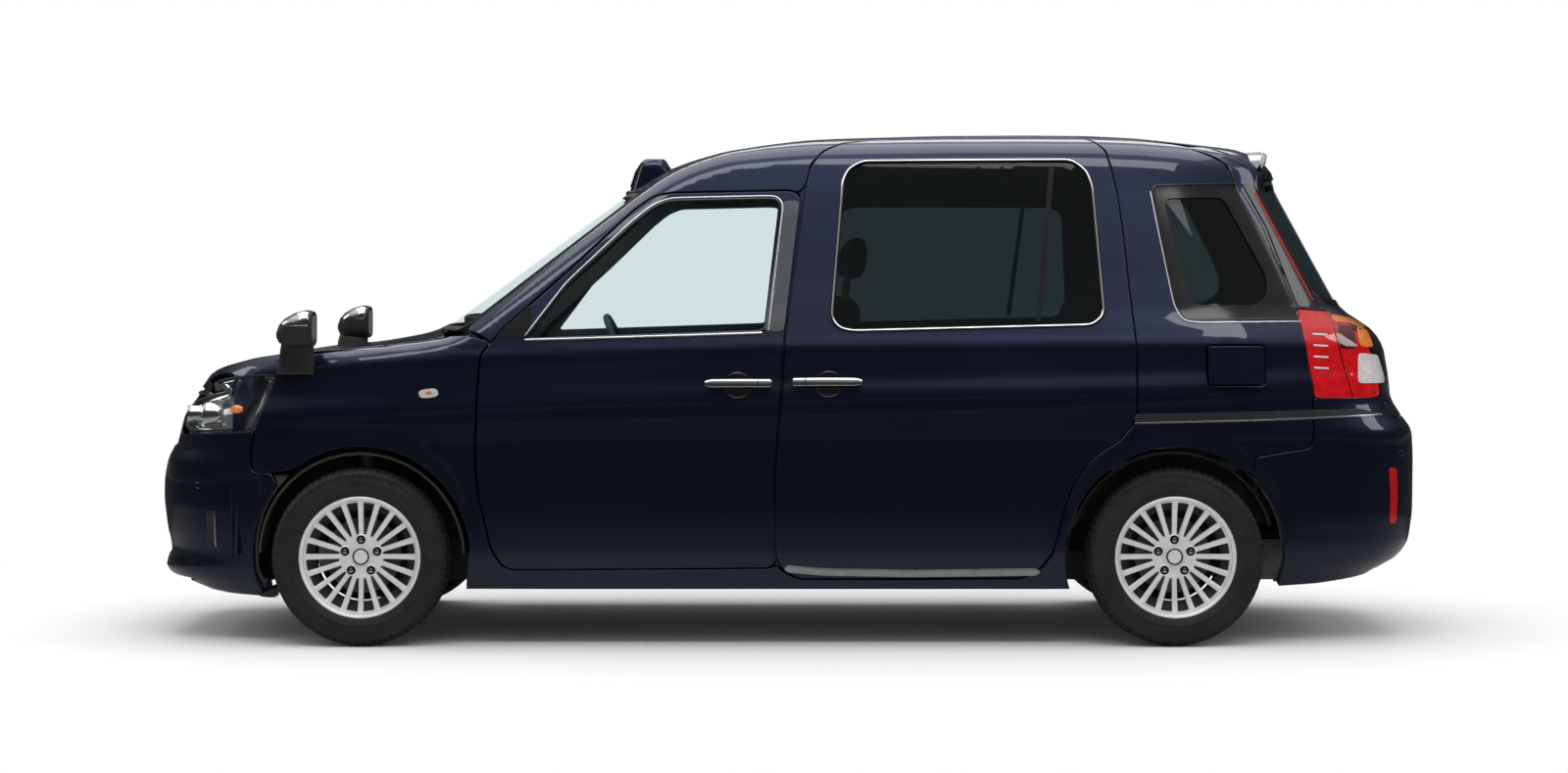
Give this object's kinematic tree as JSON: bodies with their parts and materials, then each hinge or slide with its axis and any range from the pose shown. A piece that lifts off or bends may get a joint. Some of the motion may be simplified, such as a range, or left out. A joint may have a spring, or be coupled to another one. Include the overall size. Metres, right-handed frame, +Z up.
{
  "type": "taxi cab",
  "caption": "Tall saloon-nosed taxi cab with a sliding door on one side, fender mirrors, a blank roof sign lamp and a hollow five-seat cabin.",
  "frame": {"origin": "on the ground, on the centreline, halfway along the body", "axes": "+X to the rear, +Y to the vehicle's right, +Z up"},
  "size_m": [4.3964, 1.724, 1.75],
  "materials": {
    "navy_paint": "gloss",
    "clear_glass": "clear",
    "tinted_glass": "tinted",
    "tyre": "matt",
    "wheel_silver": "satin",
    "bare_steel": "satin",
    "cast_alloy": "as cast",
    "underbody_black": "matt",
    "lamp_clear": "clear",
    "lamp_red": "gloss",
    "seat_cloth": "woven",
    "black_plastic": "satin"
  },
  "bodies": {
    "body": {"body_side_left": "navy_paint", "body_side_right": "navy_paint", "floor_pan": "underbody_black", "firewall": "underbody_black", "roof_panel": "navy_paint", "fender_left": "navy_paint", "fender_right": "navy_paint", "front_bumper": "navy_paint", "rear_bumper": "navy_paint", "grille": "black_plastic", "headlamps": "lamp_clear", "tail_lamps": "lamp_red", "windscreen": "clear_glass", "side_glass": "tinted_glass", "sliding_door": "navy_paint", "door_hinges": "bare_steel", "lid_hinges": "bare_steel", "roof_lamp": "navy_paint", "fender_mirrors": "black_plastic", "dashboard": "black_plastic", "steering_wheel": "black_plastic", "front_seats": "seat_cloth", "rear_seat": "seat_cloth", "engine_block": "cast_alloy", "front_subframe": "bare_steel", "rear_axle": "bare_steel", "exhaust": "bare_steel", "front_plate_holder": "black_plastic"},
    "hood": {"hood": "navy_paint"},
    "front_door_left": {"front_door_left": "navy_paint", "front_glass_left": "clear_glass"},
    "front_door_right": {"front_door_right": "navy_paint", "front_glass_right": "clear_glass"},
    "rear_door_right": {"rear_door_right": "navy_paint", "rear_glass_right": "tinted_glass"},
    "tailgate": {"tailgate": "navy_paint", "tailgate_glass": "tinted_glass", "rear_plate_holder": "black_plastic"},
    "fuel_lid": {"fuel_lid": "navy_paint"},
    "knuckle_left": {"knuckle_left": "bare_steel"},
    "knuckle_right": {"knuckle_right": "bare_steel"},
    "wheel_front_left": {"tyre_front_left": "tyre", "rim_front_left": "wheel_silver"},
    "wheel_front_right": {"tyre_front_right": "tyre", "rim_front_right": "wheel_silver"},
    "wheel_rear_left": {"tyre_rear_left": "tyre", "rim_rear_left": "wheel_silver"},
    "wheel_rear_right": {"tyre_rear_right": "tyre", "rim_rear_right": "wheel_silver"}
  },
  "joints": [
    {"name": "front_left_steer", "type": "hinge", "parent": "body", "child": "knuckle_left", "pos_m": [-1.44, -0.6765, 0.2243], "axis": [0, 0.1291, 0.9916], "range_deg": [-35, 35]},
    {"name": "front_right_steer", "type": "hinge", "parent": "body", "child": "knuckle_right", "pos_m": [-1.44, 0.6765, 0.2243], "axis": [0, -0.1291, 0.9916], "range_deg": [-35, 35]},
    {"name": "front_left_wheel_spin", "type": "hinge", "parent": "knuckle_left", "child": "wheel_front_left", "pos_m": [-1.44, -0.7425, 0.3015], "axis": [0, 1, 0], "continuous": true},
    {"name": "front_right_wheel_spin", "type": "hinge", "parent": "knuckle_right", "child": "wheel_front_right", "pos_m": [-1.44, 0.7425, 0.3015], "axis": [0, 1, 0], "continuous": true},
    {"name": "rear_left_wheel_spin", "type": "hinge", "parent": "body", "child": "wheel_rear_left", "pos_m": [1.31, -0.7425, 0.3015], "axis": [0, 1, 0], "continuous": true},
    {"name": "rear_right_wheel_spin", "type": "hinge", "parent": "body", "child": "wheel_rear_right", "pos_m": [1.31, 0.7425, 0.3015], "axis": [0, 1, 0], "continuous": true},
    {"name": "front_left_door_hinge", "type": "hinge", "parent": "body", "child": "front_door_left", "pos_m": [-1.011, -0.8305, 0.67], "axis": [0, 0, -1], "range_deg": [0, 65]},
    {"name": "front_right_door_hinge", "type": "hinge", "parent": "body", "child": "front_door_right", "pos_m": [-1.011, 0.8305, 0.67], "axis": [0, 0, 1], "range_deg": [0, 65]},
    {"name": "rear_right_door_hinge", "type": "hinge", "parent": "body", "child": "rear_door_right", "pos_m": [0.009, 0.8305, 0.67], "axis": [0, 0, 1], "range_deg": [0, 65]},
    {"name": "hood_hinge", "type": "hinge", "parent": "body", "child": "hood", "pos_m": [-1.09, 0, 1.01], "axis": [0, 1, 0], "range_deg": [0, 50]},
    {"name": "tailgate_hinge", "type": "hinge", "parent": "body", "child": "tailgate", "pos_m": [1.634, 0, 1.664], "axis": [0, -1, 0], "range_deg": [0, 80]},
    {"name": "fuel_lid_hinge", "type": "hinge", "parent": "body", "child": "fuel_lid", "pos_m": [1.43341, -0.80905, 0.94649], "axis": [0, -0.1305, -0.9914], "range_deg": [0, 75]}
  ],
  "couplings": [
    {"joint": "front_right_steer", "follows": "front_left_steer", "ratio": 1}
  ]
}
